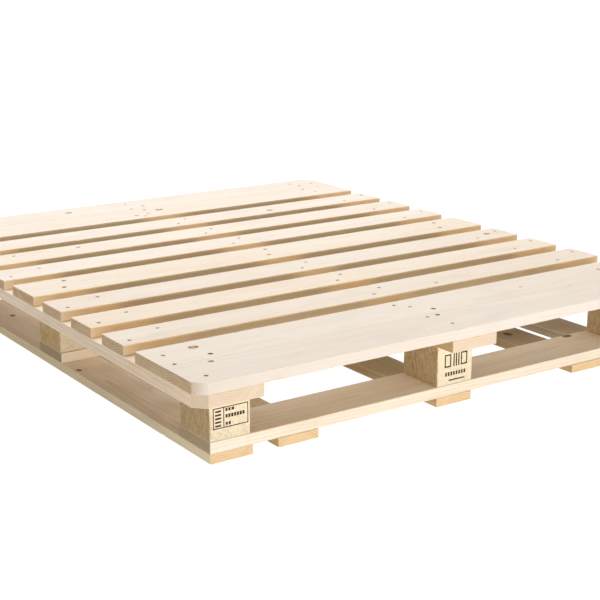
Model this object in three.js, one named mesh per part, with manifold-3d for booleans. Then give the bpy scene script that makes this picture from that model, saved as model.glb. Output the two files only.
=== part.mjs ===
// A four-way wooden block pallet with a framed base, for drums and sacks.
//
// Millimetres. X runs along the deck boards, Y runs front to back along the stringers, Z is up.
// The origin is on the floor, under the middle of the deck. From the floor up the layers are:
//   runners (along Y), base cross boards (along X), pressed-chip blocks, stringers (along Y),
//   deck boards (along X). Long nails tie the layers to each block from above and from below.
//
// Every board, block and nail is its own mesh. Boards that rest on each other touch face to face.
// A nail stands in a hole that is a little larger than the nail all round.

import * as THREE from "three";
import { mergeVertices } from "three/addons/utils/BufferGeometryUtils.js";
import Module from "manifold-3d";

const wasm = await Module();
wasm.setup();

// ---- driving dimensions ------------------------------------------------------------------------

const DECK_X = 1100; // length of a deck board
const DECK_Y = 1300; // length of a stringer, front edge to back edge of the deck
const OVERHANG = 50; // how far deck and stringers stand out past the base on every side
const CORNER_CUT = 20; // legs of the 45 degree cut at the four corners of the deck

const RUNNER_T = 17; // thicknesses of the five layers, floor to top
const BASE_CROSS_T = 20;
const BLOCK_H = 78;
const STRINGER_T = 22;
const DECK_T = 19;

const EDGE_BOARD_W = 99.85; // deck boards, measured along Y
const SEAM = 0.3; // between the two edge boards that lie side by side
const NARROW_BOARD_W = 80;
const MIDDLE_BOARD_W = 100;
const NARROW_PER_HALF = 3;

const OUTER_STRINGER_W = 120; // stringers, base cross boards and runners
const MIDDLE_STRINGER_W = 100;
const BASE_CROSS_W = 100;
const RUNNER_W = 80;
const RUNNER_GAP = 48; // between an edge runner and the one beside it

const EDGE_BLOCK_X = 75; // blocks, along X and along Y
const MIDDLE_BLOCK_X = 80;
const BLOCK_Y = 95;

const ARRIS = 1; // bevel along the sawn edges of a board
const BLOCK_ARRIS = 1.5; // cut on the upright corners of a block

const NAIL_LENGTH = 90;
const SHANK_R = 1.7;
const HEAD_R = 4.25;
const HEAD_T = 1.5;
const POINT_LENGTH = 5;
const HEAD_SINK = 0.8; // how far a head is driven below the face of the board
const NAIL_GAP = 0.35; // left between a nail and the wood around it
const NAIL_SIDES = 10;

// ---- heights and half sizes that follow --------------------------------------------------------

const Z_BASE_CROSS = RUNNER_T;
const Z_BLOCK = Z_BASE_CROSS + BASE_CROSS_T;
const Z_STRINGER = Z_BLOCK + BLOCK_H;
const Z_DECK = Z_STRINGER + STRINGER_T;
const Z_TOP = Z_DECK + DECK_T;

const BASE_X = DECK_X - 2 * OVERHANG;
const BASE_Y = DECK_Y - 2 * OVERHANG;
const HALF_DECK_X = DECK_X / 2;
const HALF_DECK_Y = DECK_Y / 2;
const HALF_BASE_X = BASE_X / 2;
const HALF_BASE_Y = BASE_Y / 2;

// ---- materials ---------------------------------------------------------------------------------

const wood = (color) => new THREE.MeshStandardMaterial({ color, roughness: 0.8, metalness: 0 });
const deckSpruce = wood(0xf3e3c8);
const sawnSpruce = wood(0xe2c79c);
const baseSpruce = wood(0xcdb083);
const chipBlock = wood(0xa98f68);
const brightSteel = new THREE.MeshStandardMaterial({ color: 0x8f8b86, roughness: 0.45, metalness: 1 });

// ---- solids ------------------------------------------------------------------------------------

// A closed three.js geometry as a manifold-3d solid.
function toSolid(geometry) {
  const bare = geometry.clone();
  bare.deleteAttribute("normal");
  bare.deleteAttribute("uv");
  const merged = mergeVertices(bare, 1e-4);
  return new wasm.Manifold(
    new wasm.Mesh({
      numProp: 3,
      vertProperties: new Float32Array(merged.attributes.position.array),
      triVerts: new Uint32Array(merged.index.array),
    }),
  );
}

// A manifold-3d solid as a flat-shaded three.js geometry.
function toGeometry(solid) {
  const mesh = solid.getMesh();
  const geometry = new THREE.BufferGeometry();
  geometry.setAttribute("position", new THREE.BufferAttribute(new Float32Array(mesh.vertProperties), 3));
  geometry.setIndex(new THREE.BufferAttribute(new Uint32Array(mesh.triVerts), 1));
  const flat = geometry.toNonIndexed();
  flat.computeVertexNormals();
  return flat;
}

// The outline of a rectangle from (x0, y0) to (x1, y1) whose corners are cut by the legs in cuts:
// front left, front right, back right, back left. A cut of zero leaves the corner square.
function cutRectangle(x0, y0, x1, y1, cuts) {
  const corners = [
    { x: x0, y: y0, before: [0, 1], after: [1, 0] },
    { x: x1, y: y0, before: [-1, 0], after: [0, 1] },
    { x: x1, y: y1, before: [0, -1], after: [-1, 0] },
    { x: x0, y: y1, before: [1, 0], after: [0, -1] },
  ];
  const points = [];
  corners.forEach(({ x, y, before, after }, i) => {
    const leg = cuts[i];
    points.push(new THREE.Vector2(x + leg * before[0], y + leg * before[1]));
    if (leg > 0) points.push(new THREE.Vector2(x + leg * after[0], y + leg * after[1]));
  });
  return new THREE.Shape(points);
}

// A flat piece of wood: its outline raised to a thickness, with the edges of both faces bevelled.
function slab({ x, y, z, cuts = [0, 0, 0, 0], bevel = ARRIS }) {
  const shape = cutRectangle(x[0], y[0], x[1], y[1], cuts);
  const geometry = new THREE.ExtrudeGeometry(shape, {
    depth: z[1] - z[0] - 2 * bevel,
    bevelEnabled: bevel > 0,
    bevelSize: bevel,
    bevelOffset: -bevel,
    bevelThickness: bevel,
    bevelSegments: 1,
    steps: 1,
  });
  geometry.translate(0, 0, z[0] + bevel);
  return geometry;
}

// A nail with its head's outer face at height zero and its shank hanging down.
// extra makes it fatter and longer, and opens the room above its head: that is the hole it needs.
function nailShape(extra = 0) {
  const headTop = extra > 0 ? HEAD_SINK + extra : 0;
  const headUnder = -HEAD_T - extra;
  const tip = -NAIL_LENGTH - extra;
  const profile = [
    [0, tip],
    [SHANK_R + extra, tip + POINT_LENGTH],
    [SHANK_R + extra, headUnder],
    [HEAD_R + extra, headUnder],
    [HEAD_R + extra, headTop],
    [0, headTop],
  ].map(([radius, height]) => new THREE.Vector2(radius, height));
  const geometry = new THREE.LatheGeometry(profile, NAIL_SIDES);
  geometry.rotateX(Math.PI / 2);
  return geometry;
}

// Puts a nail or its hole in place: from above the head is at the deck, from below it is turned over.
function placeNail(geometry, { x, y, fromBelow }) {
  if (fromBelow) geometry.rotateX(Math.PI);
  const z = fromBelow ? HEAD_SINK : Z_TOP - HEAD_SINK;
  geometry.translate(x, y, z);
  return geometry;
}

// ---- the layout of the wood --------------------------------------------------------------------

const span = (centre, width) => [centre - width / 2, centre + width / 2];

// Deck boards, front to back: two edge boards side by side, narrow boards, the middle board, and
// the same again in the other order.
function deckRows() {
  const narrow = Array(NARROW_PER_HALF).fill(NARROW_BOARD_W);
  const edgePair = [EDGE_BOARD_W, EDGE_BOARD_W];
  const widths = [...edgePair, ...narrow, MIDDLE_BOARD_W, ...narrow, ...edgePair];
  const covered = widths.reduce((sum, width) => sum + width, 0);
  const gaps = widths.length - 1 - 2;
  const gap = (DECK_Y - covered - 2 * SEAM) / gaps;
  const rows = [];
  let y = -HALF_DECK_Y;
  widths.forEach((width, i) => {
    rows.push([y, y + width]);
    const beforeSeam = i === 0 || i === widths.length - 2;
    y += width + (beforeSeam ? SEAM : gap);
  });
  return rows;
}

const columns = [
  { name: "left", block: [-HALF_BASE_X, -HALF_BASE_X + EDGE_BLOCK_X] },
  { name: "middle", block: span(0, MIDDLE_BLOCK_X) },
  { name: "right", block: [HALF_BASE_X - EDGE_BLOCK_X, HALF_BASE_X] },
];
const fromFront = (width) => [-HALF_BASE_Y, -HALF_BASE_Y + width];
const fromBack = (width) => [HALF_BASE_Y - width, HALF_BASE_Y];
const rows = [
  { name: "front", block: fromFront(BLOCK_Y), board: fromFront(BASE_CROSS_W) },
  { name: "middle", block: span(0, BLOCK_Y), board: span(0, BASE_CROSS_W) },
  { name: "back", block: fromBack(BLOCK_Y), board: fromBack(BASE_CROSS_W) },
];

// Each piece is { name, material, geometry }; the nail holes are cut afterwards.
const pieces = [];
const addPiece = (name, material, slabSizes) => pieces.push({ name, material, geometry: slab(slabSizes) });

const deck = deckRows();
deck.forEach((y, i) => {
  const first = i === 0 ? CORNER_CUT : 0;
  const last = i === deck.length - 1 ? CORNER_CUT : 0;
  addPiece(`deck_board_${i + 1}`, deckSpruce, {
    x: [-HALF_DECK_X, HALF_DECK_X],
    y,
    z: [Z_DECK, Z_TOP],
    cuts: [first, first, last, last],
  });
});

const outerStringerInner = HALF_DECK_X - OUTER_STRINGER_W;
const stringers = [
  { name: "left", x: [-HALF_DECK_X, -outerStringerInner], cuts: [CORNER_CUT, 0, 0, CORNER_CUT] },
  { name: "middle", x: span(0, MIDDLE_STRINGER_W), cuts: [0, 0, 0, 0] },
  { name: "right", x: [outerStringerInner, HALF_DECK_X], cuts: [0, CORNER_CUT, CORNER_CUT, 0] },
];
for (const { name, x, cuts } of stringers) {
  const y = [-HALF_DECK_Y, HALF_DECK_Y];
  addPiece(`stringer_${name}`, sawnSpruce, { x, y, z: [Z_STRINGER, Z_DECK], cuts });
}

for (const row of rows) {
  for (const column of columns) {
    addPiece(`block_${row.name}_${column.name}`, chipBlock, {
      x: column.block,
      y: row.block,
      z: [Z_BLOCK, Z_STRINGER],
      cuts: Array(4).fill(BLOCK_ARRIS),
      bevel: 0,
    });
  }
}

for (const row of rows) {
  const x = [-HALF_BASE_X, HALF_BASE_X];
  addPiece(`base_cross_board_${row.name}`, baseSpruce, { x, y: row.board, z: [Z_BASE_CROSS, Z_BLOCK] });
}

const innerRunner = HALF_BASE_X - RUNNER_W - RUNNER_GAP - RUNNER_W / 2;
const edgeRunner = HALF_BASE_X - RUNNER_W / 2;
const runners = [
  { name: "left_edge", centre: -edgeRunner },
  { name: "left_inner", centre: -innerRunner },
  { name: "middle", centre: 0 },
  { name: "right_inner", centre: innerRunner },
  { name: "right_edge", centre: edgeRunner },
];
for (const { name, centre } of runners) {
  const y = [-HALF_BASE_Y, HALF_BASE_Y];
  addPiece(`runner_${name}`, baseSpruce, { x: span(centre, RUNNER_W), y, z: [0, RUNNER_T] });
}

// ---- the long nails ----------------------------------------------------------------------------

// Where nails go, from the middle of a block. The two from above stand on a slant across the grain,
// clear of the seam between the edge boards; the one from below stays clear of both.
const NAILS_FROM_ABOVE = {
  front: [[-10, -8], [9, 26]],
  middle: [[-10, -17], [9, 27]],
  back: [[-10, -20], [10, 25]],
};
const NAIL_FROM_BELOW = [12, -30];

const nails = [];
for (const row of rows) {
  for (const column of columns) {
    const x = (column.block[0] + column.block[1]) / 2;
    const y = (row.block[0] + row.block[1]) / 2;
    const place = `${row.name}_${column.name}`;
    NAILS_FROM_ABOVE[row.name].forEach(([dx, dy], i) => {
      nails.push({ name: `deck_nail_${place}_${i + 1}`, x: x + dx, y: y + dy, fromBelow: false });
    });
    nails.push({
      name: `base_nail_${place}`,
      x: x + NAIL_FROM_BELOW[0],
      y: y + NAIL_FROM_BELOW[1],
      fromBelow: true,
    });
  }
}

// A piece is drilled by the nails whose axis passes through its box.
function isCrossed(geometry, nail) {
  geometry.computeBoundingBox();
  const { min, max } = geometry.boundingBox;
  const insideX = nail.x > min.x && nail.x < max.x;
  const insideY = nail.y > min.y && nail.y < max.y;
  const lowest = nail.fromBelow ? 0 : Z_TOP - NAIL_LENGTH - HEAD_SINK;
  const highest = nail.fromBelow ? NAIL_LENGTH + HEAD_SINK : Z_TOP;
  return insideX && insideY && max.z > lowest && min.z < highest;
}

function drill(geometry) {
  const crossing = nails.filter((nail) => isCrossed(geometry, nail));
  if (crossing.length === 0) return geometry;
  let solid = toSolid(geometry);
  for (const nail of crossing) {
    const hole = toSolid(placeNail(nailShape(NAIL_GAP), nail));
    solid = solid.subtract(hole);
  }
  return toGeometry(solid);
}

// ---- the pallet --------------------------------------------------------------------------------

const group = new THREE.Group();
group.name = "pallet";

for (const { name, material, geometry } of pieces) {
  const mesh = new THREE.Mesh(drill(geometry), material);
  mesh.name = name;
  group.add(mesh);
}

for (const nail of nails) {
  const mesh = new THREE.Mesh(placeNail(nailShape(), nail), brightSteel);
  mesh.name = nail.name;
  group.add(mesh);
}

export default group;
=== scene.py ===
# %% [markdown]
# # A wooden block pallet
#
# A pallet is the plainest thing in a warehouse and a good first lesson in wood. It has thirty-one
# pieces of timber and pressed chip, 113 nails, and nothing else. What makes it look real is small:
# eased edges, growth rings that agree on the face and on the end of a board, nail heads that sit in
# their dimples, and light that dies away under the deck.
#
# The sizes come from the CAD model. Here each board is modelled again with its edges, dents and
# holes, and given timber that is cut from its own imaginary tree.

# %% Load the model that everything is built around
import math
import random

import bpy
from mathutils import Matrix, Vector


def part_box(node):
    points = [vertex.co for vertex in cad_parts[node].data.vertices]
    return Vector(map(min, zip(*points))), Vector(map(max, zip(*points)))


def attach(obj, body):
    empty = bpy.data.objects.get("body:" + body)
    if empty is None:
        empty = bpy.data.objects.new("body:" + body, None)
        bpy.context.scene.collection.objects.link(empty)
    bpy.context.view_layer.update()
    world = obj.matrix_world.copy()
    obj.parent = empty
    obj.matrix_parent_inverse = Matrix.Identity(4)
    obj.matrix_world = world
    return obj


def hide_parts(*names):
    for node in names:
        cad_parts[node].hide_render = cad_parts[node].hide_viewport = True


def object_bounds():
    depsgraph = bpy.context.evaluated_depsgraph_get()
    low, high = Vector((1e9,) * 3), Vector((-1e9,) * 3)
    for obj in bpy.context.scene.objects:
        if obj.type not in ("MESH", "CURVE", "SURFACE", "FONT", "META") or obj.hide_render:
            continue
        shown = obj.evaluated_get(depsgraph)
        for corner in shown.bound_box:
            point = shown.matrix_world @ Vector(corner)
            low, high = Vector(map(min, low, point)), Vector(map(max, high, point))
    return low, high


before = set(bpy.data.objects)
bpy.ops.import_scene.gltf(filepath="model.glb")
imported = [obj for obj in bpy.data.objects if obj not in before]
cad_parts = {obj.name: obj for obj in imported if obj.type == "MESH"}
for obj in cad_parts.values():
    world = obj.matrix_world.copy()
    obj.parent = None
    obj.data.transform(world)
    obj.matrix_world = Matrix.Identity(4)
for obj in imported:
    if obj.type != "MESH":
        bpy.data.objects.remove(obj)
CAD_LOW, CAD_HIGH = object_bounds()
MM = 0.001
print("pallet", [round(side, 3) for side in CAD_HIGH - CAD_LOW], "metres")

# %% [markdown]
# ## Camera
#
# The pallet is seen from the front left, a little above the deck, with a long lens. A long lens keeps
# the boards nearly parallel, as in a catalogue picture. The camera is aimed by turning its own -Z axis
# along the line of sight, which needs no target object.

# %% Camera
CAMERA_PLACE = Vector((-1.485, -2.290, 0.8145))
LINE_OF_SIGHT = Vector((0.5434, 0.7951, -0.2692))
LENS_MM = 80.3

camera_data = bpy.data.cameras.new("catalogue_camera")
camera_data.lens = LENS_MM
camera_data.sensor_width = 36.0
camera_data.clip_end = 200.0
camera = bpy.data.objects.new("catalogue_camera", camera_data)
camera.location = CAMERA_PLACE
camera.rotation_euler = LINE_OF_SIGHT.to_track_quat("-Z", "Y").to_euler()
bpy.context.scene.collection.objects.link(camera)
bpy.context.scene.camera = camera
print("camera at", [round(part, 2) for part in CAMERA_PLACE], "lens", LENS_MM, "mm")

# %% [markdown]
# ## Nodes and colours
#
# Every material here is a tree of nodes, so one small function adds a node, sets it up and plugs things
# into it. A plug can be a number, a colour, another node, or one named output of a node. Colours are
# written as the sRGB hex values that a paint chart gives, and one function turns them to the linear
# values that the renderer counts in.

# %% Helpers for materials
COLOUR_A, COLOUR_B = 6, 7  # the colour plugs of a Mix node
COLOURS = {"data_type": "RGBA"}  # what makes it mix colours
TINTING = {"data_type": "RGBA", "blend_type": "MULTIPLY"}


def linear(hex_colour):
    """An sRGB colour such as "#e8d8b8" as linear red, green, blue and alpha."""
    channels = [int(hex_colour[i : i + 2], 16) / 255 for i in (1, 3, 5)]
    straight = [c / 12.92 if c <= 0.04045 else ((c + 0.055) / 1.055) ** 2.4 for c in channels]
    return (*straight, 1.0)


def add(tree, kind, plugs=None, stops=None, **settings):
    """Adds a node, such as "Math", sets it up, fills its plugs, and gives a colour ramp its stops."""
    made = tree.nodes.new(f"ShaderNode{kind}")
    for name, value in settings.items():
        setattr(made, name, value)
    for plug, value in (plugs or {}).items():
        if isinstance(value, bpy.types.Node):
            value = next(output for output in value.outputs if output.enabled)
        if isinstance(value, bpy.types.NodeSocket):
            tree.links.new(value, made.inputs[plug])
        else:
            made.inputs[plug].default_value = linear(value) if isinstance(value, str) else value
    if stops:
        elements = made.color_ramp.elements
        while len(elements) < len(stops):
            elements.new(0.5)
        for element, (position, colour) in zip(elements, stops):
            element.position = position
            element.color = linear(colour) if isinstance(colour, str) else (colour, colour, colour, 1.0)
    return made


def empty_material(name):
    """A material with a bare node tree."""
    material = bpy.data.materials.new(name)
    material.use_nodes = True
    material.node_tree.nodes.clear()
    return material


# %% [markdown]
# ## Floor and light
#
# A catalogue picture of raw timber is bright and nearly without shadow. The floor is a pale sheet that
# glows a little, as a light table does, so that the gaps under the deck stay white. Four soft lights do
# the rest. A wide one hangs over the back half of the deck, so the boards' front edges stay darker than
# their tops. Two strips as low as the pallet itself face the front and the left front corner. They light
# the front edge and the stamps, and reach in under the deck, but they can't look down into the gaps. A
# weak one fills the left side, the shaded one.

# %% Floor, room and lights
FLOOR_HALF = 45.0
GLOW_SEEN = 0.97  # what the camera sees
GLOW_FELT = 0.22  # what lights the pallet from below
GLOW_IN_FRONT = 1.12  # the same, on the floor in front of it
ROOM_LIGHT = 0.26

bpy.ops.object.select_all(action="DESELECT")
bpy.ops.mesh.primitive_plane_add(size=2 * FLOOR_HALF, location=(0, 0, 0))
floor = bpy.context.object
floor.name = "studio_floor"
floor_paint = empty_material("pale_floor")
tree = floor_paint.node_tree
floor_shader = add(
    tree,
    "BsdfPrincipled",
    {"Base Color": "#989898", "Roughness": 0.9, "Specular IOR Level": 0.0},
)
floor_ray = add(tree, "LightPath")
floor_place = add(tree, "TexCoord")
floor_parts = add(tree, "SeparateXYZ", {"Vector": floor_place.outputs["Object"]})
floor_ahead = add(
    tree,
    "MapRange",
    {"Value": floor_parts.outputs["Y"], "From Min": CAD_LOW.y + 0.35, "From Max": CAD_LOW.y - 0.25},
    interpolation_type="SMOOTHSTEP",
)
floor_rightward = add(
    tree,
    "MapRange",
    {"Value": floor_parts.outputs["X"], "From Min": CAD_LOW.x - 0.45, "From Max": CAD_LOW.x + 0.2},
    interpolation_type="SMOOTHSTEP",
)
floor_bright = add(tree, "Math", {0: floor_ahead, 1: floor_rightward}, operation="MULTIPLY")
floor_felt = add(tree, "MapRange", {"Value": floor_bright, "To Min": GLOW_FELT, "To Max": GLOW_IN_FRONT})
floor_glow = add(
    tree,
    "MapRange",
    {"Value": floor_ray.outputs["Is Camera Ray"], "To Min": floor_felt, "To Max": GLOW_SEEN},
)

# The slot between the two boards on the left is too deep and narrow for the light to reach its floor.
# The floor there is toned brown, because this one glows and would show white.
slot_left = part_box("runner_left_edge")[1].x
slot_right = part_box("runner_left_inner")[0].x
slot_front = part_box("base_cross_board_front")[1].y
slot_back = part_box("base_cross_board_back")[0].y
from_middle = add(
    tree, "Math", {0: floor_parts.outputs["X"], 1: (slot_left + slot_right) / 2}, operation="SUBTRACT"
)
from_middle = add(tree, "Math", {0: from_middle}, operation="ABSOLUTE")
in_slot = add(tree, "Math", {0: from_middle, 1: (slot_right - slot_left) / 2 + 2 * MM}, operation="LESS_THAN")
past_front = add(tree, "Math", {0: floor_parts.outputs["Y"], 1: slot_front}, operation="GREATER_THAN")
before_back = add(tree, "Math", {0: floor_parts.outputs["Y"], 1: slot_back}, operation="LESS_THAN")
in_slot = add(tree, "Math", {0: in_slot, 1: past_front}, operation="MULTIPLY")
in_slot = add(tree, "Math", {0: in_slot, 1: before_back}, operation="MULTIPLY")
floor_tone = add(tree, "Mix", {0: in_slot, COLOUR_A: "#ffffff", COLOUR_B: "#9c805f"}, **COLOURS)
tree.links.new(floor_tone.outputs[2], floor_shader.inputs["Emission Color"])
tree.links.new(floor_glow.outputs[0], floor_shader.inputs["Emission Strength"])

# Seen from below, the floor is clear, so that the underside of the pallet can be looked at.
floor_side = add(tree, "NewGeometry")
floor_clear = add(tree, "BsdfTransparent")
floor_mix = add(tree, "MixShader", {0: floor_side.outputs["Backfacing"], 1: floor_shader, 2: floor_clear})
add(tree, "OutputMaterial", {"Surface": floor_mix})
floor.data.materials.append(floor_paint)

room = bpy.data.worlds.new("pale_room")
room.use_nodes = True
room.node_tree.nodes.clear()
ray = add(room.node_tree, "LightPath")
seen = add(room.node_tree, "Background", {"Color": "#ffffff", "Strength": 1.0})
felt = add(room.node_tree, "Background", {"Color": "#fffaf4", "Strength": ROOM_LIGHT})
either = add(room.node_tree, "MixShader", {0: ray.outputs["Is Camera Ray"], 1: felt, 2: seen})
add(room.node_tree, "OutputWorld", {"Surface": either})
bpy.context.scene.world = room


def soft_light(name, place, aim, size, power, colour):
    """A rectangular softbox of that width and height, turned to face a point."""
    light = bpy.data.lights.new(name, "AREA")
    light.shape = "RECTANGLE"
    light.size = size[0]
    light.size_y = size[1]
    light.energy = power
    light.color = linear(colour)[:3]
    holder = bpy.data.objects.new(name, light)
    holder.location = place
    holder.rotation_euler = (Vector(aim) - Vector(place)).to_track_quat("-Z", "Y").to_euler()
    bpy.context.scene.collection.objects.link(holder)
    return holder


soft_light("overhead_softbox", (0.2, 0.8, 3.0), (0.0, 0.1, 0.1), (3.8, 3.4), 103, "#ffffff")
soft_light("front_strip", (1.1, -4.6, 0.32), (0.2, -0.6, 0.1), (6.0, 0.55), 54, "#ffffff")
soft_light("corner_strip", (-2.7, -4.05, 0.32), (-0.3, -0.6, 0.1), (3.6, 0.55), 50, "#ffffff")
soft_light("left_fill", (-4.2, 1.2, 0.9), (-0.5, 0.0, 0.1), (2.0, 1.6), 20, "#fff6ea")

view = bpy.context.scene.view_settings
view.view_transform = "Standard"
view.look = "None"
print("lights:", [thing.name for thing in bpy.data.lights])

# %% [markdown]
# ## Timber: spruce, cut from its own tree
#
# The boards are spruce: pale cream wood whose yearly rings have a soft light part and a thin, harder,
# orange part. A saw cuts straight through those rings. So the rings show as arcs on the end of a board,
# as lines or long flames on its face, and the two meet at the edge. A flat picture of wood can't do
# that. Here the rings are solid: every point of the board knows its distance from the middle of its
# tree, the pith, and the colour is looked up from that distance.
#
# Knots are old branches. Each one is a short list entry: where it is and how thick the branch was.
# The rings swell round it, as they do round a real branch.
#
# End grain drinks dirt and light, so it is darker and warmer than the face. Sawn faces keep faint
# stripes across the board from the band saw; the deck boards are planed, so they have almost none.

# %% Kinds of timber
RING_WIDTH = 4.2 * MM  # fast-grown pallet timber
PITH_WANDER = 20 * MM  # how far the middle of the tree strays along a board
TAPER = 0.011  # how far the rings drift outwards for each length along the tapering trunk
KNOT_STRETCH = 0.72  # a knot's width across the grain, as a share of its length along it
KNOT_REACH = 4.0  # rings swell this many knot radii away from a knot
KNOT_SWELL = 3.2  # and by this many radii at its middle
LATEWOOD = [(0.0, 0.0), (0.35, 0.06), (0.72, 0.55), (0.9, 1.0), (0.97, 0.85), (1.0, 0.0)]

PLANED_DECK = {
    "pale": "#fbf4ea",
    "deep": "#f9ede0",
    "late": "#ebd3b6",
    "end": "#ddc6a4",
    "end_late": "#ad8a64",
    "ring_strength": 0.17,
    "fibre": 0.34,
    "heart": "#d9b88c",
    "corner": "#ffffff",
    "saw": 0.08,
    "dirt": 0.10,
}
SAWN_STRINGER = {
    "pale": "#fbecd8",
    "deep": "#f4dfc3",
    "late": "#dcbb90",
    "end": "#ecd5bc",
    "end_late": "#dcbf9b",
    "ring_strength": 0.25,
    "fibre": 0.5,
    "heart": "#9a7048",
    # the stringers' corners sawn at 45 degrees are darkened as painted shade
    "corner": "#e8e8e4",
    "saw": 0.4,
    "dirt": 0.14,
}
SAWN_BASE = {
    "pale": "#fef5e4",
    "deep": "#f9e8cf",
    "late": "#cfab7c",
    "end": "#f6d8aa",
    "end_late": "#dfb47c",
    "ring_strength": 0.36,
    "fibre": 0.45,
    "heart": "#9c744c",
    "corner": "#ffffff",
    "saw": 0.35,
    "dirt": 0.2,
}
SAWN_CROSS = {  # the same timber, with cleaner faces, and ends darkened as painted shade
    **SAWN_BASE,
    "late": "#dabb90",
    # painted shade on the ends
    "end": "#b5a384",
    "end_late": "#9e825c",
    "ring_strength": 0.27,
    "fibre": 0.35,
    "dirt": 0.08,
}


# %% One board's timber
def timber(
    name, look, low, high, along, pith, knots=(), seed=0.0, tint="#ffffff", edge="#ffffff", top="#ffffff"
):
    """Spruce for one board. pith is where the tree's middle passes, across and above the board's own
    middle; a knot is (place along, place across, radius). All are in metres from the board's middle.
    tint is the board's own tone, edge is that of its two long edges, and top that of its upper face; on the
    faces that lie in shade, edge and top are painted shade."""
    material = empty_material(name)
    tree = material.node_tree
    centre = (low + high) / 2
    size = high - low
    turn = 0.0 if along == "X" else math.pi / 2
    length, width = (size.x, size.y) if along == "X" else (size.y, size.x)

    # The board's own directions: x along the grain, y across it, z through the thickness.
    place = add(tree, "TexCoord")
    local = add(
        tree,
        "Mapping",
        {"Vector": place.outputs["Object"], "Location": centre, "Rotation": (0, 0, turn)},
        vector_type="TEXTURE",
    )
    parts = add(tree, "SeparateXYZ", {"Vector": local})

    # Noise at five scales. The fibres are drawn about a millimetre wide, coarser than life.
    noises = []
    for shift, swing, scale, detail, roughness in (
        ((seed, seed, 0), 0.0, (1.6, 11, 11), 3.0, 0.45),
        ((0, 0, 0), 0.0, (14, 620, 620), 2.0, 0.5),
        ((seed * 3, 0, seed), 0.0, (3.0, 24, 24), 3.0, 0.5),
        ((0, 0, 0), 0.06, (170, 5, 5), 1.0, 0.5),
        ((seed * 7, seed, 0), 0.0, (9, 22, 22), 5.0, 0.5),
    ):
        plugs = {"Vector": local, "Location": shift, "Rotation": (0, 0, swing), "Scale": scale}
        spread = add(tree, "Mapping", plugs)
        plugs = {"Vector": spread, "Scale": 1.0, "Detail": detail, "Roughness": roughness}
        noises.append(add(tree, "TexNoise", plugs))
    wander, fibre, blotch, saw, smudge = noises

    # Distance from the pith, which leans and wanders along the tree.
    from_pith = add(
        tree,
        "Mapping",
        {"Vector": local, "Location": (0, -pith[0], -pith[1]), "Scale": (0, 1, 1)},
    )
    radius = add(tree, "VectorMath", {0: from_pith}, operation="LENGTH").outputs["Value"]
    drift = add(tree, "Math", {0: wander, 1: PITH_WANDER, 2: radius}, operation="MULTIPLY_ADD")
    growth = add(tree, "Math", {0: parts.outputs["X"], 1: TAPER, 2: drift}, operation="MULTIPLY_ADD")

    # Rings swell round each knot.
    knot_reach = None
    for knot_along, knot_across, knot_radius in knots:
        offset = add(
            tree,
            "Mapping",
            {
                "Vector": local,
                "Location": (-KNOT_STRETCH * knot_along, -knot_across, 0),
                "Scale": (KNOT_STRETCH, 1, 0),
            },
        )
        distance = add(tree, "VectorMath", {0: offset}, operation="LENGTH").outputs["Value"]
        swell = add(
            tree,
            "MapRange",
            {
                "Value": distance,
                "From Min": KNOT_REACH * knot_radius,
                "From Max": 0.0,
                "To Max": KNOT_SWELL * knot_radius,
            },
            interpolation_type="SMOOTHSTEP",
        )
        growth = add(tree, "Math", {0: growth, 1: swell}, operation="ADD")
        reach = add(tree, "Math", {0: distance, 1: knot_radius}, operation="DIVIDE")
        knot_reach = reach if knot_reach is None else add(
            tree, "Math", {0: knot_reach, 1: reach}, operation="MINIMUM"
        )

    # From growth to rings: light early wood, then the thin late wood at the end of each year.
    years = add(tree, "Math", {0: growth, 1: RING_WIDTH}, operation="DIVIDE")
    season = add(tree, "Math", {0: years}, operation="FRACT")
    late = add(tree, "ValToRGB", {"Fac": season}, stops=LATEWOOD)
    era = add(tree, "Math", {0: years, 1: 0.31, 2: seed}, operation="MULTIPLY_ADD")
    good_years = add(tree, "TexNoise", {"W": era, "Scale": 1.0, "Detail": 1.0}, noise_dimensions="1D")
    lateness = add(tree, "Math", {0: late, 1: good_years}, operation="MULTIPLY")

    smear = add(tree, "TexNoise", {"Vector": local, "Scale": 90.0, "Detail": 2.0})

    # Face colour.
    patches = add(tree, "MapRange", {"Value": blotch, "From Min": 0.35, "From Max": 0.68})
    body = add(tree, "Mix", {0: patches, COLOUR_A: look["pale"], COLOUR_B: look["deep"]}, **COLOURS)
    ring_share = add(tree, "Math", {0: lateness, 1: 2.0 * look["ring_strength"]}, operation="MULTIPLY")
    ringed = add(tree, "Mix", {0: ring_share, COLOUR_A: body, COLOUR_B: look["late"]}, **COLOURS)
    streaks = add(
        tree,
        "MapRange",
        {"Value": fibre, "From Min": 0.5, "From Max": 0.85, "To Max": look["fibre"]},
    )
    fibrous = add(tree, "Mix", {0: streaks, COLOUR_A: ringed, COLOUR_B: look["late"]}, **COLOURS)
    saw_share = add(
        tree,
        "MapRange",
        {"Value": saw, "From Min": 0.5, "From Max": 0.8, "To Max": 0.5 * look["saw"]},
    )
    face = add(tree, "Mix", {0: saw_share, COLOUR_A: fibrous, COLOUR_B: look["deep"]}, **TINTING)

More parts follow.
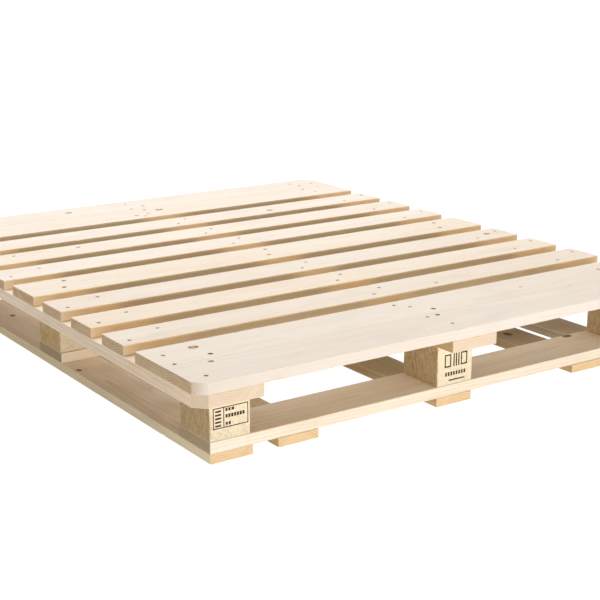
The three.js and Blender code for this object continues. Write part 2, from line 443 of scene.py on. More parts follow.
    # End grain: the same rings, darker, where the surface looks along the board.
    facing = add(tree, "SeparateXYZ", {"Vector": place.outputs["Normal"]})
    toward_end = add(tree, "Math", {0: facing.outputs[along]}, operation="ABSOLUTE")
    end_mask = add(tree, "MapRange", {"Value": toward_end, "From Min": 0.6, "From Max": 0.92})
    end_share = add(tree, "Math", {0: lateness, 1: 1.5}, operation="MULTIPLY")
    end_rings = add(tree, "Mix", {0: end_share, COLOUR_A: look["end"], COLOUR_B: look["end_late"]}, **COLOURS)
    pores = add(tree, "TexNoise", {"Vector": local, "Scale": 900.0, "Detail": 2.0})
    pore_share = add(tree, "MapRange", {"Value": pores, "From Min": 0.5, "From Max": 0.8, "To Max": 0.5})
    end_grain = add(tree, "Mix", {0: pore_share, COLOUR_A: end_rings, COLOUR_B: look["end_late"]}, **COLOURS)
    wood = add(tree, "Mix", {0: end_mask, COLOUR_A: face, COLOUR_B: end_grain}, **COLOURS)

    if knot_reach is not None:
        ragged = add(tree, "Math", {0: smear, 1: 0.5, 2: knot_reach}, operation="MULTIPLY_ADD")
        heart = add(
            tree,
            "ValToRGB",
            {"Fac": ragged},
            stops=[
                (0.0, "#8e6238"),
                (0.35, look["heart"]),
                (0.74, look["heart"]),
                (0.9, "#6b482b"),
                (1.0, "#94704a"),
            ],
        )
        inside = add(tree, "MapRange", {"Value": ragged, "From Min": 1.4, "From Max": 1.05})
        wood = add(tree, "Mix", {0: inside, COLOUR_A: wood, COLOUR_B: heart}, **COLOURS)

    # The long arrises are painted paler: partly wear, partly a painted highlight along the edge. Handling
    # leaves grey smudges.
    side = add(tree, "Math", {0: parts.outputs["Y"]}, operation="ABSOLUTE")
    height = add(tree, "Math", {0: parts.outputs["Z"]}, operation="ABSOLUTE")
    inset = add(tree, "Math", {0: side, 1: height}, operation="ADD")
    arris = add(
        tree,
        "MapRange",
        {
            "Value": inset,
            "From Min": width / 2 + size.z / 2 - 3.5 * MM,
            "From Max": width / 2 + size.z / 2 - 1.5 * MM,
            "To Max": 0.25,
        },
    )
    face_only = add(tree, "Math", {0: 1.0, 1: end_mask}, operation="SUBTRACT")
    arris = add(tree, "Math", {0: arris, 1: face_only}, operation="MULTIPLY")
    # the paler arris band: wear, and a painted highlight
    wear_and_painted_light = add(tree, "Mix", {0: arris, COLOUR_A: wood, COLOUR_B: "#ffe9c9"}, **COLOURS)
    smudge_share = add(
        tree,
        "MapRange",
        {"Value": smudge, "From Min": 0.56, "From Max": 0.78, "To Max": look["dirt"]},
    )
    handled = add(tree, "Mix", {0: smudge_share, COLOUR_A: wear_and_painted_light, COLOUR_B: "#8a7358"}, **COLOURS)
    toned = add(tree, "Mix", {0: 1.0, COLOUR_A: handled, COLOUR_B: tint}, **TINTING)

    across = "Y" if along == "X" else "X"
    toward_edge = add(tree, "Math", {0: facing.outputs[across]}, operation="ABSOLUTE")
    slanted = add(tree, "Math", {0: toward_end, 1: toward_edge}, operation="MULTIPLY")
    # Tones for the long edges, for the corners sawn at 45 degrees, and for the top face. The darker tones
    # given to the gap edges, the sheltered edges, the stringers' corners and the tops of the boards on the
    # floor are painted shade.
    for turned, from_min, from_max, tone in (
        (toward_edge, 0.6, 0.9, edge),
        (slanted, 0.3, 0.45, look["corner"]),
        (facing.outputs["Z"], 0.6, 0.9, top),
    ):
        share = add(tree, "MapRange", {"Value": turned, "From Min": from_min, "From Max": from_max})
        toned = add(tree, "Mix", {0: share, COLOUR_A: toned, COLOUR_B: tone}, **TINTING)

    # Roughness and relief.
    dull = add(tree, "MapRange", {"Value": fibre, "To Min": 0.55, "To Max": 0.82})
    relief = add(tree, "Math", {0: saw, 1: 1.6 * look["saw"], 2: fibre}, operation="MULTIPLY_ADD")
    raised = add(tree, "Math", {0: lateness, 1: 0.8, 2: relief}, operation="MULTIPLY_ADD")
    bump = add(tree, "Bump", {"Height": raised, "Strength": 0.5, "Distance": 0.25 * MM})
    shader = add(
        tree,
        "BsdfPrincipled",
        {"Base Color": toned, "Roughness": dull, "Normal": bump, "IOR": 1.5, "Specular IOR Level": 0.3},
    )
    add(tree, "OutputMaterial", {"Surface": shader})
    return material


# %% [markdown]
# ## Pressed chip blocks
#
# The blocks are chips and sawdust glued under heat and pushed through a long press. The chips turn
# flat against the ram, so along the press they are thin and across it they are broad. That is why one
# side of a block shows round specks and the next one shows short upright streaks. Cells of a
# Voronoi pattern, squeezed along Y, give the same chips on every side, because the pattern is solid.

# %% The chip material
CHIP_BROAD = 4.2 * MM
CHIP_THIN = 1.5 * MM
# painted shade on the sides of a block that look along X
SIDE_PAINTED_SHADE = "#d7cdbf"


def chipboard(name, seed, marks=(), side_shade_tone=SIDE_PAINTED_SHADE):
    """Pressed chips. marks are ink bars on the front face: (left, right, bottom, top) in metres."""
    material = empty_material(name)
    tree = material.node_tree
    place = add(tree, "TexCoord")
    squeezed = add(
        tree,
        "Mapping",
        {
            "Vector": place.outputs["Object"],
            "Location": (seed, seed * 2, 0),
            "Scale": (1 / CHIP_BROAD, 1 / CHIP_THIN, 1 / CHIP_BROAD),
        },
    )
    chips = add(tree, "TexVoronoi", {"Vector": squeezed, "Scale": 1.0, "Randomness": 1.0})
    cell = add(tree, "SeparateColor", {"Color": chips.outputs["Color"]})
    chip_colour = add(
        tree,
        "ValToRGB",
        {"Fac": cell},
        stops=[(0.0, "#8a6f49"), (0.12, "#c6a97e"), (0.45, "#e6d0ab"), (0.85, "#f0dfc0"), (1.0, "#f8edd6")],
    )
    dust = add(tree, "TexNoise", {"Vector": place.outputs["Object"], "Scale": 700.0, "Detail": 3.0})
    dust_share = add(tree, "MapRange", {"Value": dust, "From Min": 0.5, "From Max": 0.75, "To Max": 0.6})
    dusty = add(tree, "Mix", {0: dust_share, COLOUR_A: chip_colour, COLOUR_B: "#b5935f"}, **COLOURS)
    body = add(tree, "Mix", {0: 0.5, COLOUR_A: dusty, COLOUR_B: "#ead5ae"}, **COLOURS)

    # The sides that look along X carry upright scrapes and are darkened further as painted shade; the front
    # and back are painted paler, as painted light.
    facing = add(tree, "SeparateXYZ", {"Vector": place.outputs["Normal"]})
    toward_x = add(tree, "Math", {0: facing.outputs["X"]}, operation="ABSOLUTE")
    toward_y = add(tree, "Math", {0: facing.outputs["Y"]}, operation="ABSOLUTE")
    wear_and_painted_light = add(tree, "MapRange", {"Value": toward_x, "From Min": 0.5, "From Max": 0.9})
    upright = add(
        tree,
        "Mapping",
        {"Vector": place.outputs["Object"], "Location": (seed, 0, seed), "Scale": (40, 330, 45)},
    )
    scrape = add(tree, "TexNoise", {"Vector": upright, "Scale": 1.0, "Detail": 2.0, "Roughness": 0.6})
    scraped = add(tree, "MapRange", {"Value": scrape, "From Min": 0.48, "From Max": 0.66, "To Max": 0.45})
    scrape_share = add(tree, "Math", {0: scraped, 1: wear_and_painted_light}, operation="MULTIPLY")
    body = add(tree, "Mix", {0: scrape_share, COLOUR_A: body, COLOUR_B: "#8f7450"}, **COLOURS)
    body = add(tree, "Mix", {0: wear_and_painted_light, COLOUR_A: body, COLOUR_B: side_shade_tone}, **TINTING)
    front_back_painted_light = add(tree, "MapRange", {"Value": toward_y, "From Min": 0.5, "From Max": 0.9, "To Max": 0.5})
    body = add(tree, "Mix", {0: front_back_painted_light, COLOUR_A: body, COLOUR_B: "#f6e8cd"}, **COLOURS)

    # Ink soaks in unevenly, so the bars are broken up by the dust.
    ink = None
    parts = add(tree, "SeparateXYZ", {"Vector": place.outputs["Object"]})
    for left, right, bottom, top in marks:
        off_x = add(tree, "Math", {0: parts.outputs["X"], 1: (left + right) / 2}, operation="SUBTRACT")
        off_z = add(tree, "Math", {0: parts.outputs["Z"], 1: (bottom + top) / 2}, operation="SUBTRACT")
        far_x = add(tree, "Math", {0: off_x}, operation="ABSOLUTE")
        far_z = add(tree, "Math", {0: off_z}, operation="ABSOLUTE")
        in_x = add(tree, "Math", {0: far_x, 1: (right - left) / 2}, operation="LESS_THAN")
        in_z = add(tree, "Math", {0: far_z, 1: (top - bottom) / 2}, operation="LESS_THAN")
        bar = add(tree, "Math", {0: in_x, 1: in_z}, operation="MULTIPLY")
        ink = bar if ink is None else add(tree, "Math", {0: ink, 1: bar}, operation="MAXIMUM")
    if ink is not None:
        front = add(tree, "Math", {0: facing.outputs["Y"], 1: -0.7}, operation="LESS_THAN")
        soak = add(
            tree,
            "MapRange",
            {"Value": dust, "From Min": 0.66, "From Max": 0.45, "To Min": 0.85, "To Max": 1.0},
        )
        printed = add(tree, "Math", {0: ink, 1: front}, operation="MULTIPLY")
        inked = add(tree, "Math", {0: printed, 1: soak}, operation="MULTIPLY")
        body = add(tree, "Mix", {0: inked, COLOUR_A: body, COLOUR_B: "#1f150c"}, **COLOURS)

    raised = add(tree, "Math", {0: cell.outputs[1], 1: 0.6, 2: dust}, operation="MULTIPLY_ADD")
    bump = add(tree, "Bump", {"Height": raised, "Strength": 0.6, "Distance": 0.4 * MM})
    dull = add(tree, "MapRange", {"Value": dust, "To Min": 0.7, "To Max": 0.92})
    shader = add(
        tree,
        "BsdfPrincipled",
        {"Base Color": body, "Roughness": dull, "Normal": bump, "IOR": 1.5, "Specular IOR Level": 0.25},
    )
    add(tree, "OutputMaterial", {"Surface": shader})
    return material


# %% [markdown]
# ## Nail steel
#
# Pallet nails are drawn steel wire, left bright and soon dull. On pale wood their heads read as dark
# spots, because bare steel shows a dim picture of the room. The head has faint marks from the hammer
# and a little rust. The short nails have smaller heads than the long ones.

# %% The steel material
nail_steel = empty_material("dull_drawn_steel")
tree = nail_steel.node_tree
steel_place = add(tree, "TexCoord")
steel_noise = add(tree, "TexNoise", {"Vector": steel_place.outputs["Object"], "Scale": 420.0, "Detail": 3.0})
steel_age = add(tree, "TexNoise", {"Vector": steel_place.outputs["Object"], "Scale": 31.0, "Detail": 1.0})
steel_tone = add(
    tree,
    "ValToRGB",
    {"Fac": steel_age},
    stops=[(0.36, "#352b22"), (0.5, "#655a4c"), (0.64, "#aa9c89")],
)
steel_rust = add(tree, "MapRange", {"Value": steel_noise, "From Min": 0.5, "From Max": 0.72})
steel_colour = add(tree, "Mix", {0: steel_rust, COLOUR_A: steel_tone, COLOUR_B: "#4a3626"}, **COLOURS)
steel_dull = add(tree, "MapRange", {"Value": steel_noise, "To Min": 0.35, "To Max": 0.65})
steel_bump = add(tree, "Bump", {"Height": steel_noise, "Strength": 0.4, "Distance": 0.2 * MM})
steel_shader = add(
    tree,
    "BsdfPrincipled",
    {"Base Color": steel_colour, "Metallic": 1.0, "Roughness": steel_dull, "Normal": steel_bump},
)
add(tree, "OutputMaterial", {"Surface": steel_shader})

# %% [markdown]
# ## Shaping by hand
#
# Each piece starts as a primitive at its size and place and is then shaped in edit mode. An operator
# works on whatever is selected, so everything is deselected before a new start. A board is sliced along
# its length and across its width, which gives it points that can move. Then a bevel eases its
# sharp edges, and a faint cloud pushes its faces in by up to a third of a millimetre, as drying does.


# %% Helpers for shaping
def begin():
    """Leaves nothing selected, so that the next operator acts on the next piece only."""
    if bpy.context.object and bpy.context.object.mode != "OBJECT":
        bpy.ops.object.mode_set(mode="OBJECT")
    bpy.ops.object.select_all(action="DESELECT")


def cube_between(name, low, high):
    """A cube primitive stretched from one corner to the other, with its place in its mesh."""
    begin()
    bpy.ops.mesh.primitive_cube_add(size=1, location=(low + high) / 2, scale=high - low)
    piece = bpy.context.object
    piece.name = name
    piece.data.name = name
    bpy.ops.object.transform_apply(location=True, rotation=True, scale=True)
    return piece


def slice_piece(piece, axis, count):
    """Cuts a piece into count equal lengths along an axis, and keeps them joined."""
    low = min(vertex.co[axis] for vertex in piece.data.vertices)
    high = max(vertex.co[axis] for vertex in piece.data.vertices)
    normal = [0.0, 0.0, 0.0]
    normal[axis] = 1.0
    bpy.ops.object.mode_set(mode="EDIT")
    for step in range(1, count):
        point = [0.0, 0.0, 0.0]
        point[axis] = low + (high - low) * step / count
        bpy.ops.mesh.select_all(action="SELECT")
        bpy.ops.mesh.bisect(plane_co=point, plane_no=normal)
    bpy.ops.object.mode_set(mode="OBJECT")


def cut_corner(piece, corner, legs):
    """Saws off an upright corner at 45 degrees. legs points inwards along X and Y."""
    outward = Vector((-math.copysign(1, legs[0]), -math.copysign(1, legs[1]), 0)).normalized()
    bpy.ops.object.mode_set(mode="EDIT")
    bpy.ops.mesh.select_all(action="SELECT")
    bpy.ops.mesh.bisect(
        plane_co=(corner[0] + legs[0], corner[1], 0), plane_no=outward, use_fill=True, clear_outer=True
    )
    bpy.ops.object.mode_set(mode="OBJECT")


def finish_with(piece, kind, **settings):
    """Adds a modifier, sets it up and applies it."""
    bpy.context.view_layer.objects.active = piece
    modifier = piece.modifiers.new(kind.lower(), kind)
    for name, value in settings.items():
        setattr(modifier, name, value)
    bpy.ops.object.modifier_apply(modifier=modifier.name)


def smooth(piece, degrees):
    """Shades as one surface the faces that meet at less than that angle."""
    begin()
    piece.select_set(True)
    bpy.context.view_layer.objects.active = piece
    bpy.ops.object.shade_smooth_by_angle(angle=math.radians(degrees))


def copy_of(model, name, place=(0, 0, 0), turned_over=False):
    """A copy with its own mesh, turned over about X if asked, and moved, with its place in its mesh."""
    begin()
    model.select_set(True)
    bpy.context.view_layer.objects.active = model
    bpy.ops.object.duplicate()
    piece = bpy.context.object
    piece.name = name
    piece.data.name = name
    if turned_over:
        piece.rotation_euler = (math.pi, 0, 0)
    piece.location = place
    bpy.ops.object.transform_apply(location=True, rotation=True, scale=True)
    return piece


def join_all(pieces, name):
    """One object from several."""
    begin()
    for piece in pieces:
        piece.select_set(True)
    bpy.context.view_layer.objects.active = pieces[0]
    bpy.ops.object.join()
    joined = bpy.context.object
    joined.name = name
    joined.data.name = name
    return joined


# %% [markdown]
# ## Nails
#
# A nail is drawn wire with a flat head and a cut point. It starts as a cylinder, the shank. Its top
# face is made wider without moving, which is the underside of the head, then raised, and the rim is
# narrowed for the bevel. The other end is pulled out and pinched to the point.
#
# The same function makes the tool that cuts the nail's hole, a little fatter and with a flared mouth:
# that is the dimple of crushed wood round a driven head. So each board gets real holes.

# %% Nail sizes
NAIL_KINDS = {
    "long": {"length": 90 * MM, "head": 4.25 * MM, "shank": 1.7 * MM},
    "deck": {"length": 38 * MM, "head": 3.2 * MM, "shank": 1.3 * MM},
    "base": {"length": 34 * MM, "head": 3.2 * MM, "shank": 1.3 * MM},
}
HEAD_THICK = 1.5 * MM
POINT = 5 * MM
SINK = 0.8 * MM
NAIL_SIDES = 12
RIM = 0.4 * MM  # eased edge of a head
HOLE_SPARE = 0.15 * MM  # a hole's radius over its nail's
HOLE_MOUTH = 0.6 * MM  # crushed wood round a head


def select_cap(piece, height):
    """Enters edit mode with only the faces at that height selected."""
    bpy.ops.object.mode_set(mode="EDIT")
    bpy.ops.mesh.select_mode(type="FACE")
    bpy.ops.mesh.select_all(action="DESELECT")
    bpy.ops.object.mode_set(mode="OBJECT")
    for face in piece.data.polygons:
        face.select = abs(face.center.z - height) < 1e-6 and abs(face.normal.z) > 0.9
    bpy.ops.object.mode_set(mode="EDIT")


def step_out(widths_and_rises, start):
    """Extrudes the selected cap again and again: each step has a scale and a rise."""
    height = start
    for scale, rise in widths_and_rises:
        bpy.ops.mesh.extrude_region_move(TRANSFORM_OT_translate={"value": (0, 0, rise)})
        height += rise
        if scale != 1.0:
            bpy.ops.transform.resize(value=(scale, scale, 1), center_override=(0, 0, height))


def nail_shape(name, kind, spare=0.0, mouth=0.0):
    """A nail whose head's top is at height zero. spare makes it fatter, and mouth adds a flared rim."""
    length = NAIL_KINDS[kind]["length"]
    shank = NAIL_KINDS[kind]["shank"] + spare
    head = NAIL_KINDS[kind]["head"] + 2 * spare
    under = -HEAD_THICK - spare
    straight = length - HEAD_THICK - POINT
    begin()
    bpy.ops.mesh.primitive_cylinder_add(
        vertices=NAIL_SIDES, radius=shank, depth=straight, location=(0, 0, under - straight / 2)
    )
    piece = bpy.context.object
    piece.name = name
    bpy.ops.object.transform_apply(location=True, rotation=True, scale=True)
    select_cap(piece, under)
    if mouth:
        flare = (head + mouth) / head
        step_out([(head / shank, 0), (1.0, -under), (flare, SINK + spare), (1.0, 2 * MM)], under)
    else:
        rim = (head - RIM) / head
        step_out([(head / shank, 0), (1.0, HEAD_THICK - RIM), (rim, RIM), (0.55, -0.12 * MM)], under)
    bpy.ops.object.mode_set(mode="OBJECT")
    select_cap(piece, under - straight)
    step_out([(0.12, -POINT - spare)], under - straight)
    bpy.ops.mesh.select_all(action="SELECT")
    bpy.ops.mesh.remove_doubles(threshold=1e-6)
    bpy.ops.mesh.normals_make_consistent(inside=False)
    bpy.ops.object.mode_set(mode="OBJECT")
    return piece


# %% Model each kind of nail and each hole once
nail_models = {}
hole_models = {}
for kind in NAIL_KINDS:
    nail_models[kind] = nail_shape(f"model_{kind}_nail", kind)
    hole_models[kind] = nail_shape(f"model_{kind}_hole", kind, spare=HOLE_SPARE, mouth=HOLE_MOUTH)
print("faces of a long nail:", len(nail_models["long"].data.polygons))

# %% [markdown]
# ## Where the nails go
#
# The long nails that tie the deck and the base to the blocks are in the CAD model, so their places are
# read from it. The short ones follow the habit of the nailing machine: two to a crossing, set on a
# slant so that they don't split one line of grain, and a looser handful in the wide edge boards.
# A seeded random nudge keeps them from lining up too well.

# %% Lay out every nail
chance = random.Random(7)
DECK_BOARDS = [f"deck_board_{number}" for number in range(1, 12)]
STRINGERS = ["stringer_left", "stringer_middle", "stringer_right"]
ROWS = ["front", "middle", "back"]
COLUMNS = ["left", "middle", "right"]
CROSS_BOARDS = [f"base_cross_board_{row}" for row in ROWS]
RUNNERS = [f"runner_{name}" for name in ("left_edge", "left_inner", "middle", "right_inner", "right_edge")]
DECK_TOP = CAD_HIGH.z
NUDGE = 2.5 * MM


def nudge():
    """A small error of the nailing machine."""
    return chance.uniform(-NUDGE, NUDGE)


def middle_of(node):
    """The middle of a CAD node's box."""
    low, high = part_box(node)
    return (low + high) / 2


nails = []


def put_nail(kind, x, y, from_below=False, **owner):
    """Notes one nail. Its owner is the node of a long one, or the board of a short one."""
    nails.append({"kind": kind, "x": x, "y": y, "from_below": from_below, **owner})


for row in ROWS:
    for column in COLUMNS:
        for number in (1, 2):
            node = f"deck_nail_{row}_{column}_{number}"
            spot = middle_of(node)
            put_nail("long", spot.x, spot.y, node=node)
        node = f"base_nail_{row}_{column}"
        spot = middle_of(node)
        put_nail("long", spot.x, spot.y, from_below=True, node=node)

# Short deck nails, in metres from the stringer's left edge: front one, back one.
SLANT = {
    "stringer_left": (25 * MM, 97 * MM),
    "stringer_middle": (33 * MM, 67 * MM),
    "stringer_right": (23 * MM, 100 * MM),
}
EDGE_SPOTS = {  # on an edge pair, from the stringer's left edge and the deck's nearest edge
    "stringer_left": [(33, 33), (22, 109), (31, 158)],
    "stringer_middle": [(29, 36), (17, 90), (30, 156), (12, 181)],
    "stringer_right": [(35, 36), (88, 60), (33, 159)],
}
for board in DECK_BOARDS[2:5] + DECK_BOARDS[6:9]:
    low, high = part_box(board)
    for stringer, (front_x, back_x) in SLANT.items():
        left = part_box(stringer)[0].x
        for x, share in ((front_x, 0.28), (back_x, 0.7)):
            y = low.y + share * (high.y - low.y) + nudge()
            put_nail("deck", left + x + nudge(), y, board=board)
for stringer, spots in EDGE_SPOTS.items():
    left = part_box(stringer)[0].x
    for x, depth in spots:
        for pair, edge, inwards in ((0, CAD_LOW.y, 1), (10, CAD_HIGH.y, -1)):
            on_inner = depth > 100
            board = DECK_BOARDS[pair + inwards * on_inner]
            y = edge + inwards * depth * MM + nudge() / 2
            put_nail("deck", left + x * MM + nudge(), y, board=board)

# Short base nails: at each crossing of a runner and a cross board.
for runner in RUNNERS:
    for cross_board in CROSS_BOARDS:
        spot = Vector((middle_of(runner).x, middle_of(cross_board).y, 0))
        for across, along in ((-20 * MM, 26 * MM), (17 * MM, 14 * MM)):
            x = spot.x + across + nudge()
            put_nail("base", x, spot.y + along + nudge(), from_below=True, board=runner)
print("nails:", len(nails), "of which long:", sum(nail["kind"] == "long" for nail in nails))


# %% [markdown]
# ## Drilling
#
# Every piece of wood is cut by the nails that pass through it, all at once: their hole tools are joined
# into one object and taken away with a Boolean. A few shallow dents along the arrises are cut in the
# same way, because a pallet is dropped and dragged from its first day. The mesh is made of triangles
# first, since the cut needs flat faces.

# %% Helpers for drilling and denting
def passes_through(nail, low, high):
    """Whether a nail's shank meets a box."""
    length = NAIL_KINDS[nail["kind"]]["length"] + SINK
    bottom = 0.0 if nail["from_below"] else DECK_TOP - length
    top = length if nail["from_below"] else DECK_TOP
    beside = low.x < nail["x"] < high.x and low.y < nail["y"] < high.y
    return beside and top > low.z and bottom < high.z


def nail_place(nail):
    """Where the top of the nail's head is."""
    z = SINK if nail["from_below"] else DECK_TOP - SINK
    return (nail["x"], nail["y"], z)


def dent_tools(low, high, along, count):
    """Small flattened balls on the long arrises: what they cut away is a dent."""
    tools = []
    axis = 0 if along == "X" else 1
    for _ in range(count):
        centre = Vector((chance.choice((low.x, high.x)), chance.choice((low.y, high.y)), 0))
        centre.z = chance.choice((low.z, high.z))
        centre[axis] = chance.uniform(low[axis] + 0.03, high[axis] - 0.03)
        begin()
        bpy.ops.mesh.primitive_ico_sphere_add(subdivisions=2, radius=1.0, location=centre)
        tool = bpy.context.object
        reach = chance.uniform(1.2, 2.4) * MM
        stretch = [reach, reach, reach]
        stretch[axis] = chance.uniform(3, 11) * MM
        tool.scale = stretch
        bpy.ops.object.transform_apply(location=True, rotation=True, scale=True)
        tools.append(tool)
    return tools


def drill_and_dent(piece, low, high, along, dents):
    """Takes the nail holes and the dents out of a piece."""
    tools = []
    for nail in nails:
        if passes_through(nail, low, high):
            tools.append(copy_of(hole_models[nail["kind"]], "hole", nail_place(nail), nail["from_below"]))
    tools += dent_tools(low, high, along, dents)
    if not tools:
        return
    tool = join_all(tools, "drill_tool")
    begin()
    piece.select_set(True)
    finish_with(piece, "TRIANGULATE")
    finish_with(piece, "BOOLEAN", operation="DIFFERENCE", solver="EXACT", object=tool, use_self=True)
    bpy.data.objects.remove(tool)


# %% [markdown]
# ## Boards
#
# All twenty-two boards go through the same hands: cut to size, ends trimmed by a hair so that no two
# are quite alike, corners sawn off where the deck needs it, edges eased, faces let down by drying,
# then drilled. What differs is the list of corners, the tree and the knots.

# %% The board maker
DRYING = 0.35 * MM
PAIRED_DRYING = 0.1 * MM
drying_cloud = bpy.data.textures.new("drying_cloud", "CLOUDS")
drying_cloud.noise_scale = 0.16
drying_cloud.noise_depth = 1
SLICE = 45 * MM
ARRIS = 0.9 * MM
PAIRED_ARRIS = 0.15 * MM  # sharper, where two boards lie edge to edge
STRIPS = 4  # a board is sliced into this many across its width
CORNER_LEG = 20 * MM  # of the deck's sawn corners


def corner_cuts(low, high):
    """The deck's sawn corners that a box reaches, as (corner, legs into the wood)."""
    cuts = []
    for x, into_x in ((CAD_LOW.x, CORNER_LEG), (CAD_HIGH.x, -CORNER_LEG)):
        for y, into_y in ((CAD_LOW.y, CORNER_LEG), (CAD_HIGH.y, -CORNER_LEG)):
            reaches_x = abs(low.x - x) < MM or abs(high.x - x) < MM
            reaches_y = abs(low.y - y) < MM or abs(high.y - y) < MM
            if reaches_x and reaches_y:
                cuts.append(((x, y), (into_x, into_y)))
    return cuts


def make_board(node, name, along, wood, cuts=(), paired=False, dents=5, trim=0.0):
    """A board in the place of a CAD node."""
    low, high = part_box(node)
    axis = 0 if along == "X" else 1
    start, end = low.copy(), high.copy()
    start[axis] += trim * chance.random()
    end[axis] -= trim * chance.random()
    piece = cube_between(name, start, end)
    for corner, legs in cuts:
        cut_corner(piece, corner, legs)
    slice_piece(piece, axis, round((end[axis] - start[axis]) / SLICE))
    slice_piece(piece, 1 - axis, STRIPS)
    arris = PAIRED_ARRIS if paired else ARRIS
    finish_with(piece, "BEVEL", width=arris, segments=1, limit_method="ANGLE", angle_limit=math.radians(30))
    drying = PAIRED_DRYING if paired else DRYING
    finish_with(
        piece, "DISPLACE", texture=drying_cloud, texture_coords="GLOBAL", strength=drying, mid_level=1.0
    )
    drill_and_dent(piece, low, high, along, dents)
    smooth(piece, 25)
    piece.data.materials.clear()
    piece.data.materials.append(wood)
    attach(piece, "root")
    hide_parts(node)
    return piece


# %% Deck boards
DECK_KNOTS = {  # millimetres along and across from the middle of a board, and the knot's radius
    2: [(-459, 18, 7), (242, -4, 2.5)],
    3: [(130, -20, 3)],
    5: [(495, 3, 6)],
    8: [(-310, 16, 4)],
    9: [(238, -10, 6)],
    10: [(20, 15, 7), (-55, -15, 4)],
    11: [(-176, 2, 6), (-420, 20, 4)],
}
DECK_TINTS = {
    1: "#fbf9f8",
    2: "#fcfaf8",
    3: "#fcf9f5",
    4: "#fefaf3",
    5: "#fcf9f6",
    6: "#fefbf5",
    7: "#fffefd",
    8: "#fffdfa",
    9: "#fefcfb",
    10: "#fefcfa",
    11: "#fdfcfc",
}
DECK_TRIM = 1.4 * MM  # the most that is trimmed off an end
DECK_DENTS = 6
FRONT_EDGE = "#f5f4f3"
DECK_GAP_EDGE_SHADE = "#fcefd4"  # painted shade on the edges in the gaps between the deck boards
for number, node in enumerate(DECK_BOARDS, start=1):
    low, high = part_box(node)
    knots = [tuple(part * MM for part in knot) for knot in DECK_KNOTS.get(number, [])]
    pith = (chance.uniform(-30, 30) * MM, chance.choice((-1, 1)) * chance.uniform(30, 75) * MM)
    # the edges in the gaps get painted shade
    edge = FRONT_EDGE if number == 1 else DECK_GAP_EDGE_SHADE
    paired = number in (1, 2, 10, 11)
    name = f"planed_spruce_{number}"
    tint = DECK_TINTS[number]
    wood = timber(name, PLANED_DECK, low, high, "X", pith, knots, number * 1.7, tint, edge)
    cuts = corner_cuts(low, high)
    name = f"deck_plank_{number}"
    board = make_board(node, name, "X", wood, cuts, paired, DECK_DENTS, DECK_TRIM)
    print(board.name, len(board.data.polygons), "faces")

# %% Stringers
EDGE_PAINTED_SHADE = "#cbb997"  # painted shade on the long edges that lie in the shade of the deck

for number, node in enumerate(STRINGERS, start=1):
    low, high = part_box(node)
    pith = (chance.uniform(-25, 25) * MM, chance.choice((-1, 1)) * chance.uniform(25, 60) * MM)
    knots = [
        (chance.uniform(-500, 500) * MM, chance.uniform(-35, 35) * MM, chance.uniform(3, 7) * MM)
        for _ in range(2)
    ]
    # the middle stringer's long edges get painted shade
    edge = EDGE_PAINTED_SHADE if node == "stringer_middle" else "#ffffff"
    name = f"sawn_stringer_spruce_{number}"
    wood = timber(name, SAWN_STRINGER, low, high, "Y", pith, knots, 20 + number * 2.3, edge=edge)
    name = node.replace("stringer", "stringer_beam")
    make_board(node, name, "Y", wood, corner_cuts(low, high))

# %% Base cross boards and runners
BASE_DENTS = 8  # they take the knocks of the forks
BASE_KNOTS = {
    "base_cross_board_front": [(370, 43, 8)],
    "runner_left_edge": [(-103, 29, 5), (310, -12, 6)],
    "runner_right_inner": [(-384, 4, 8)],
    "runner_middle": [(-220, -14, 6)],
}
RUNNER_TOPS_PAINTED_SHADE = {  # painted shade: the tops of the boards on the floor are darkened, as they lie in the shade of the deck
    "runner_left_inner": "#d4d0bb",
    "runner_middle": "#d4d0bb",
    "runner_right_inner": "#aea28e",
    "runner_right_edge": "#dddad3",
}
# painted shade on the long edges of the two edge runners
RUNNER_EDGES_PAINTED_SHADE = {"runner_left_edge": "#f2f0e2", "runner_right_edge": "#dddad3"}
for number, node in enumerate(CROSS_BOARDS + RUNNERS, start=1):
    low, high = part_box(node)
    along = "X" if node in CROSS_BOARDS else "Y"
    pith = (chance.uniform(-30, 30) * MM, chance.choice((-1, 1)) * chance.uniform(20, 55) * MM)
    common_knot = (chance.uniform(-400, 400), 10, 4)
    knots = [tuple(part * MM for part in knot) for knot in BASE_KNOTS.get(node, [common_knot])]
    look = SAWN_CROSS if node in CROSS_BOARDS else SAWN_BASE
    # painted shade on the long edges of the runners
    edge = EDGE_PAINTED_SHADE if node in RUNNERS[1:4] else RUNNER_EDGES_PAINTED_SHADE.get(node, "#ffffff")
    # the top tone is painted shade on the boards under the deck
    top = RUNNER_TOPS_PAINTED_SHADE.get(node, "#ffffff")
    name = f"sawn_base_spruce_{number}"
    seed = 40 + number * 1.9
    wood = timber(name, look, low, high, along, pith, knots, seed, edge=edge, top=top)
    make_board(node, f"{node}_wood", along, wood, dents=BASE_DENTS)

# %% [markdown]
# ## Blocks
#
# One block is modelled for each width and copied. It is sliced finely, because its faces are rough
# enough to catch light: chips stand out and crumbs are missing. A Voronoi cloud pushes the faces in by
# up to half a millimetre. The cloud is fixed in space, so each copy gets its own surface.

# %% The marks on two blocks
LINE = 1.7 * MM


def frame_marks(left, right, bottom, top, line=LINE):
    """Four thin bars that make a box."""
    return [
        (left, right, top - line, top),
        (left, right, bottom, bottom + line),
        (left, left + line, bottom, top),
        (right - line, right, bottom, top),
    ]


def row_of_bars(left, bottom, top, widths, gap):
    """Solid bars side by side, with no lettering in them."""
    bars = []
    for width in widths:
        bars.append((left, left + width * MM, bottom, top))
        left += (width + gap) * MM
    return bars


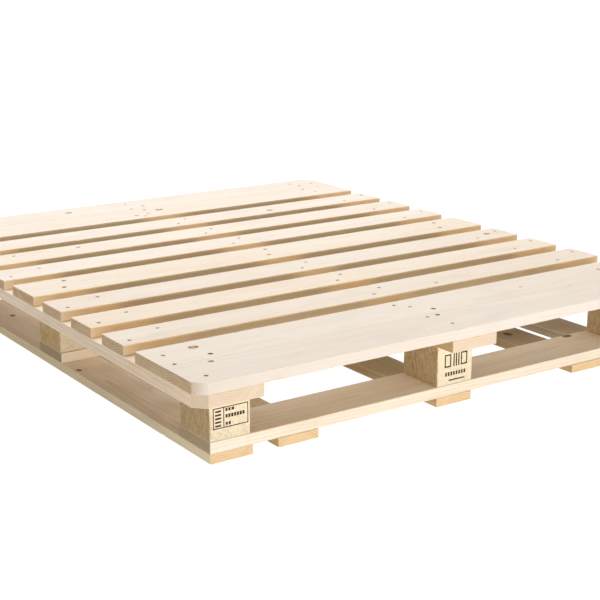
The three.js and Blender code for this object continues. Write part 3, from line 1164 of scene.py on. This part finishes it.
corner_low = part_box("block_front_left")[0]
corner_marks = frame_marks(
    corner_low.x + 6 * MM, corner_low.x + 71 * MM, corner_low.z + 20 * MM, corner_low.z + 55 * MM
)
divider = corner_low.x + 25 * MM
corner_marks.append((divider, divider + LINE, corner_low.z + 20 * MM, corner_low.z + 55 * MM))
for step in range(5):
    bottom = corner_low.z + (23.5 + step * 6) * MM
    corner_marks.append((corner_low.x + 10 * MM, corner_low.x + 21 * MM, bottom, bottom + 3 * MM))
for bottom, top, widths, gap in ((47, 52, [4, 4, 5], 1.5), (36, 42, [4] * 7, 1.2), (24, 29, [4, 4], 1.5)):
    low_z, high_z = corner_low.z + bottom * MM, corner_low.z + top * MM
    corner_marks += row_of_bars(divider + 4 * MM, low_z, high_z, widths, gap)

middle_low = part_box("block_front_middle")[0]
mark_left, mark_low, mark_high = middle_low.x + 16 * MM, middle_low.z + 33 * MM, middle_low.z + 57 * MM
BOLD = 2.8 * MM
middle_marks = frame_marks(mark_left, mark_left + 15 * MM, mark_low, mark_high, BOLD)
middle_marks += row_of_bars(mark_left + 20 * MM, mark_low, mark_high, [3, 3, 3], 2.5)
middle_marks += frame_marks(mark_left + 37 * MM, mark_left + 52 * MM, mark_low, mark_high, BOLD)
for left, bottom, top, widths, gap in ((18, 17, 24, [4] * 8, 2), (26, 7.5, 10, [36], 0)):
    low_z, high_z = middle_low.z + bottom * MM, middle_low.z + top * MM
    middle_marks += row_of_bars(middle_low.x + left * MM, low_z, high_z, widths, gap)
MARKS = {"block_front_left": corner_marks, "block_front_middle": middle_marks}
print("ink bars:", len(corner_marks), "and", len(middle_marks))

# %% The block maker
crumb_cloud = bpy.data.textures.new("crumb_cloud", "VORONOI")
crumb_cloud.noise_scale = 5.0 * MM
CRUMB = 0.5 * MM
BLOCK_CUTS = 24
BLOCK_ARRIS = 1.2 * MM
# painted shade on one block's sides, set lighter than on the rest
SIDE_PAINTED_SHADE_BY_BLOCK = {"block_middle_left": "#ebe0cb"}

block_models = {}
for column in COLUMNS:
    low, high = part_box(f"block_front_{column}")
    width = round((high.x - low.x) / MM)
    if width not in block_models:
        model = cube_between(f"model_block_{width}", low - (low + high) / 2, high - (low + high) / 2)
        bpy.ops.object.mode_set(mode="EDIT")
        bpy.ops.mesh.select_all(action="SELECT")
        bpy.ops.mesh.subdivide(number_cuts=BLOCK_CUTS)
        bpy.ops.object.mode_set(mode="OBJECT")
        finish_with(model, "BEVEL", width=BLOCK_ARRIS, segments=1, limit_method="ANGLE")
        block_models[width] = model

for row in ROWS:
    for column in COLUMNS:
        node = f"block_{row}_{column}"
        low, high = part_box(node)
        model = block_models[round((high.x - low.x) / MM)]
        block = copy_of(model, f"chip_{node}", (low + high) / 2)
        finish_with(
            block, "DISPLACE", texture=crumb_cloud, texture_coords="GLOBAL", strength=CRUMB, mid_level=1.0
        )
        drill_and_dent(block, low, high, "Y", 0)
        smooth(block, 40)
        block.data.materials.clear()
        tone = SIDE_PAINTED_SHADE_BY_BLOCK.get(node, SIDE_PAINTED_SHADE)
        chips = chipboard(f"pressed_chips_{row}_{column}", chance.random() * 9, MARKS.get(node, ()), tone)
        block.data.materials.append(chips)
        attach(block, "root")
        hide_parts(node)
        print(block.name, len(block.data.polygons), "faces")

# %% [markdown]
# ## Driving the nails
#
# Each long nail takes the place of its CAD node. The short nails of one board are joined into one
# piece, because there are many and they never move apart.

# %% Place every nail
short_nails = {}
for nail in nails:
    if nail["kind"] == "long":
        name = nail["node"].replace("_nail_", "_long_nail_")
        piece = copy_of(nail_models["long"], name, nail_place(nail), nail["from_below"])
        piece.data.materials.append(nail_steel)
        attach(piece, "root")
        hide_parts(nail["node"])
    else:
        piece = copy_of(nail_models[nail["kind"]], "short_nail", nail_place(nail), nail["from_below"])
        short_nails.setdefault(nail["board"], []).append(piece)

for board, pieces in short_nails.items():
    joined = join_all(pieces, f"short_nails_{board}")
    joined.data.materials.append(nail_steel)
    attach(joined, "root")
print("pieces with short nails:", len(short_nails))

# %% Clear the bench
for model in [*nail_models.values(), *hole_models.values(), *block_models.values()]:
    bpy.data.objects.remove(model)
